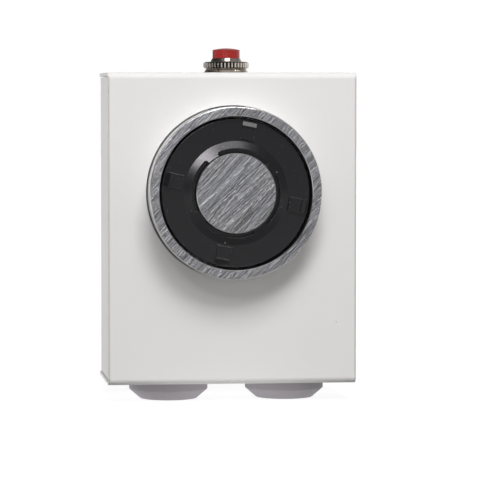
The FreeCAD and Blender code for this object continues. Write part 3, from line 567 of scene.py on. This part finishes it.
def grey_rubber():
    """Soft grey elastomer, matt, with a bloom and a little lint."""
    grey_low, grey_high = colour(0.355, 0.332, 0.357), colour(0.40, 0.374, 0.402)
    lint_grey = colour(0.46, 0.45, 0.46)
    bloom = {"Sheen_Weight": 0.15, "Sheen_Roughness": 0.5}
    material, tree, shader = finish("grey_rubber", IOR=1.45, **bloom)
    grain = use(tree, "grain", Scale=2400.0)
    lint = use(tree, "specks", Scale=420.0, Size=0.10, Share=0.25)
    tone = blend(tree, grain["Broad"], grey_low, grey_high)
    tone = lay_over(tree, tone, lint["Mask"], 0.5, lint_grey)
    rough = follow(tree, grain["Fine"], 0.58, 0.72)
    normal = relief(tree, grain["Fine"], 0.012 * MM)
    feed(tree, shader, Base_Color=tone, Roughness=rough, Normal=normal)
    return material


def moulded_plastic(name, light, dark, rough_low, rough_high):
    """Plain moulded plastic or wire insulation."""
    rubbed = colour(0.45, 0.43, 0.40)
    material, tree, shader = finish(name, IOR=1.48)
    grain = use(tree, "grain", Scale=2600.0)
    wear_and_painted_light = use(tree, "wear_and_painted_light", Width=0.2 * MM, Patch=1400.0)
    tone = blend(tree, grain["Broad"], dark, light)
    tone = lay_over(tree, tone, wear_and_painted_light["Mask"], 0.25, rubbed)
    rough = follow(tree, grain["Fine"], rough_low, rough_high)
    normal = relief(tree, grain["Fine"], 0.006 * MM)
    feed(tree, shader, Base_Color=tone, Roughness=rough, Normal=normal)
    return material


def diode_case():
    """Black case with a pale cathode band, between tinned wires."""
    black_low, black_high = colour(0.018, 0.018, 0.019), colour(0.032, 0.032, 0.034)
    band_grey = colour(0.55, 0.55, 0.54)
    tinned = colour(0.62, 0.62, 0.60)
    material, tree, shader = finish("diode_case", IOR=1.5)
    grain = use(tree, "grain", Scale=3000.0)
    axes = axes_of(tree, own_place(tree))
    offset = calc(tree, "ABSOLUTE", calc(tree, "SUBTRACT", axes["X"], diode_middle))
    wire_side = calc(tree, "GREATER_THAN", offset, case_half_length)
    wire_foot = calc(tree, "LESS_THAN", axes["Z"], diode_high.z - case_height)
    wire = calc(tree, "MAXIMUM", wire_side, wire_foot)
    past_start = calc(tree, "GREATER_THAN", axes["X"], diode_middle + band_near)
    before_end = calc(tree, "LESS_THAN", axes["X"], diode_middle + band_far)
    band = calc(tree, "MULTIPLY", past_start, before_end)
    tone = blend(tree, grain["Broad"], black_low, black_high)
    tone = blend(tree, band, tone, band_grey)
    tone = blend(tree, wire, tone, tinned)
    rough = follow(tree, grain["Fine"], 0.34, 0.48)
    normal = relief(tree, grain["Fine"], 0.004 * MM)
    feed(tree, shader, Base_Color=tone, Roughness=rough, Metallic=wire, Normal=normal)
    return material


# One finish for each material slot of the record
finishes = {
    "white_powder_coat": white_powder_coat(),
    "ground_steel": ground_steel(),
    "zinc_steel": plain_metal(
        "zinc_steel", colour(0.60, 0.62, 0.65), colour(0.46, 0.47, 0.50), 0.22, 0.36
    ),
    "black_moulding": black_moulding(),
    "copper_wire": copper_wire(),
    "nickel": nickel_plate(),
    "red_plastic": red_plastic(),
    "grey_rubber": grey_rubber(),
    "red_insulation": moulded_plastic(
        "red_insulation", colour(0.42, 0.022, 0.02), colour(0.34, 0.015, 0.015), 0.32, 0.42
    ),
    "black_insulation": moulded_plastic(
        "black_insulation", colour(0.026, 0.026, 0.026), colour(0.016, 0.016, 0.016), 0.32, 0.42
    ),
    "ivory_plastic": moulded_plastic(
        "ivory_plastic", colour(0.66, 0.64, 0.56), colour(0.58, 0.56, 0.48), 0.40, 0.52
    ),
    "brass": plain_metal("brass", colour(0.66, 0.48, 0.20), colour(0.50, 0.34, 0.12), 0.20, 0.34),
    "diode_case": diode_case(),
    "spring_steel": plain_metal(
        "spring_steel", colour(0.50, 0.50, 0.51), colour(0.34, 0.34, 0.36), 0.24, 0.38
    ),
}
slot_of = {entry["node"]: entry["material_slot"] for entry in frame["record"]["subparts"]}
for name, node in nodes.items():
    node.material_slots[0].material = finishes[slot_of[name]]


def coiled_spring():
    """Return spring of round wire: an even helix with capped ends."""
    axis = (spring_low + spring_high) / 2
    wire = spring_wire / 2
    mean = (spring_high.x - spring_low.x) / 2 - wire
    low = spring_low.z + wire
    rise = spring_high.z - wire - low
    count = spring_turns * spring_steps
    points = []
    faces = []
    for step in range(count + 1):
        share = step / count
        angle = 2 * math.pi * spring_turns * share
        middle = Vector((axis.x, axis.y, low + rise * share))
        outward = Vector((math.cos(angle), math.sin(angle), 0))
        for side in range(spring_sides):
            turn = 2 * math.pi * side / spring_sides
            reach = mean + wire * math.cos(turn)
            points.append(middle + outward * reach + Vector((0, 0, wire * math.sin(turn))))
    for step in range(count):
        for side in range(spring_sides):
            first = step * spring_sides + side
            second = step * spring_sides + (side + 1) % spring_sides
            faces.append((first, second, second + spring_sides, first + spring_sides))
    faces.append(tuple(reversed(range(spring_sides))))
    faces.append(tuple(range(count * spring_sides, (count + 1) * spring_sides)))
    mesh = bpy.data.meshes.new("button_spring")
    mesh.from_pydata(points, [], faces)
    mesh.shade_smooth()
    mesh.materials.append(finishes["spring_steel"])
    spring = bpy.data.objects.new("button_spring", mesh)
    bpy.context.scene.collection.objects.link(spring)
    return spring


# Spring in place of its plain solid, shortened by the button
spring = coiled_spring()
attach(spring, "housing")
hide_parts("return_spring")
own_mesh(spring)


def floor_finish():
    """Grey that keeps the shadow and glows white for the camera, clear from below."""
    grey = colour(0.22, 0.22, 0.22)
    material, tree, shader = finish("studio_floor", Base_Color=grey, Roughness=0.9)
    flat = vector_calc(tree, "MULTIPLY", own_place(tree), (1.0, 1.0, 0.0))["Vector"]
    away = vector_calc(tree, "LENGTH", flat)["Value"]
    bounce = ramp(tree, away, *bounce_reach, *bounce_glow)
    white = ramp(tree, away, *white_reach, *white_glow)
    shine = ramp(tree, away, *white_reach, *shine_glow)
    path = tree.nodes.new("ShaderNodeLightPath").outputs
    mirrored = calc(tree, "MAXIMUM", path["Is Glossy Ray"], path["Is Transmission Ray"])
    strength = choose(tree, mirrored, bounce, shine)
    strength = choose(tree, path["Is Camera Ray"], strength, white)
    glow = place(tree, "ShaderNodeEmission", {"Strength": strength}).outputs[0]
    lit = place(tree, "ShaderNodeAddShader", {0: shader.outputs[0], 1: glow}).outputs[0]
    under = tree.nodes.new("ShaderNodeNewGeometry").outputs["Backfacing"]
    clear = tree.nodes.new("ShaderNodeBsdfTransparent").outputs[0]
    shown = place(tree, "ShaderNodeMixShader", {0: under, 1: lit, 2: clear}).outputs[0]
    feed(tree, tree.nodes["Material Output"], Surface=shown)
    return material


def studio_floor():
    """Flat floor just under the grommets."""
    level = cad_box[0].z - floor_gap
    sides = ((-1, -1), (1, -1), (1, 1), (-1, 1))
    corners = [(floor_reach * x, floor_reach * y, level) for x, y in sides]
    mesh = bpy.data.meshes.new("studio_floor")
    mesh.from_pydata(corners, [], [(0, 1, 2, 3)])
    mesh.materials.append(floor_finish())
    floor = bpy.data.objects.new("studio_floor", mesh)
    bpy.context.scene.collection.objects.link(floor)


def studio_world():
    """White backdrop for the camera; a dim room, paler on the right and behind, for the light."""
    right_wall = colour(0.55, 0.54, 0.53)
    white = colour(1.0, 1.0, 1.0)
    world = bpy.data.worlds.new("studio")
    world.use_nodes = True
    bpy.context.scene.world = world
    tree = world.node_tree
    axes = axes_of(tree, tree.nodes.new("ShaderNodeTexCoord").outputs["Generated"])
    path = tree.nodes.new("ShaderNodeLightPath").outputs
    mirrored = path["Is Glossy Ray"]
    # Front half: a low fill as light, darker on the left in gloss, and a pale wall on the right
    fill = ramp(tree, axes["Z"], *fill_rise, *fill_tone)
    gloss = ramp(tree, axes["X"], *gloss_turn, *gloss_tone)
    front = choose(tree, mirrored, fill, gloss)
    front = blend(tree, ramp(tree, axes["X"], *right_turn), front, right_wall)
    # Rear half: darker on the left in gloss, and darker towards the top
    rear_left = choose(tree, mirrored, *rear_left_tone)
    rear_right = choose(tree, mirrored, *rear_right_tone)
    rear = choose(tree, ramp(tree, axes["X"], *rear_turn), rear_left, rear_right)
    rear = calc(tree, "MULTIPLY", rear, ramp(tree, axes["Z"], *rear_rise, *rear_fall))
    tone = blend(tree, ramp(tree, axes["Y"], *behind_turn), front, rear)
    room = tree.nodes["Background"]
    feed(tree, room, Color=tone)
    room.inputs["Strength"].default_value = 1.0
    backdrop = place(tree, "ShaderNodeBackground", {"Color": white, "Strength": 1.0})
    inputs = {0: path["Is Camera Ray"], 1: room.outputs[0], 2: backdrop.outputs[0]}
    shown = place(tree, "ShaderNodeMixShader", inputs).outputs[0]
    feed(tree, tree.nodes["World Output"], Surface=shown)


def soft_box(name, place_at, aim_at, size, power, tint, lights=True, mirrored=True):
    """Rectangular soft lamp aimed at a point; it may only light surfaces, or only show in gloss."""
    lamp = bpy.data.lights.new(name, "AREA")
    lamp.shape = "RECTANGLE"
    lamp.size, lamp.size_y = size
    lamp.energy = power
    lamp.color = tint
    box = bpy.data.objects.new(name, lamp)
    box.location = place_at
    box.rotation_euler = (Vector(aim_at) - Vector(place_at)).to_track_quat("-Z", "Y").to_euler()
    box.visible_camera = False
    box.visible_diffuse = lights
    box.visible_glossy = mirrored
    bpy.context.scene.collection.objects.link(box)


def studio_lamps():
    """Soft box high in front, a smaller one on the left, two boxes for gloss and a side fill."""
    face = (0.0, pole_plane, 0.0)
    middle = (0.0, 0.0, 0.0)
    white = (1.0, 1.0, 1.0)
    cool = (0.97, 0.94, 1.0)
    soft_box("key_box", (0.05, -0.60, 0.70), face, (0.40, 0.36), 6.45, white)
    soft_box("left_box", (-0.23, -0.85, 0.56), face, (0.34, 0.15), 1.6, cool, mirrored=False)
    soft_box("reflector", (-0.27, -0.90, 0.43), face, (0.40, 0.20), 7.2, cool, lights=False)
    soft_box("top_reflector", (0.07, -0.88, 0.57), face, (0.26, 0.17), 0.8, cool, lights=False)
    soft_box("side_fill", (-0.58, 0.14, 0.06), middle, (0.30, 0.40), 2.1, white, mirrored=False)


def photo_camera():
    """Camera at the photograph's viewing angle."""
    lens = bpy.data.cameras.new("photo_camera")
    lens.sensor_width = sensor_size
    lens.lens = camera_lens
    lens.clip_start = clip_near
    lens.clip_end = clip_far
    forward = Vector(
        (
            math.sin(camera_turn_right) * math.cos(camera_tilt_up),
            math.cos(camera_turn_right) * math.cos(camera_tilt_up),
            math.sin(camera_tilt_up),
        )
    )
    camera = bpy.data.objects.new("photo_camera", lens)
    camera.location = camera_place
    camera.rotation_euler = forward.to_track_quat("-Z", "Y").to_euler()
    bpy.context.scene.collection.objects.link(camera)
    bpy.context.scene.camera = camera


# Studio and camera
studio_floor()
studio_world()
studio_lamps()
photo_camera()
bpy.context.scene.view_settings.view_transform = "Standard"
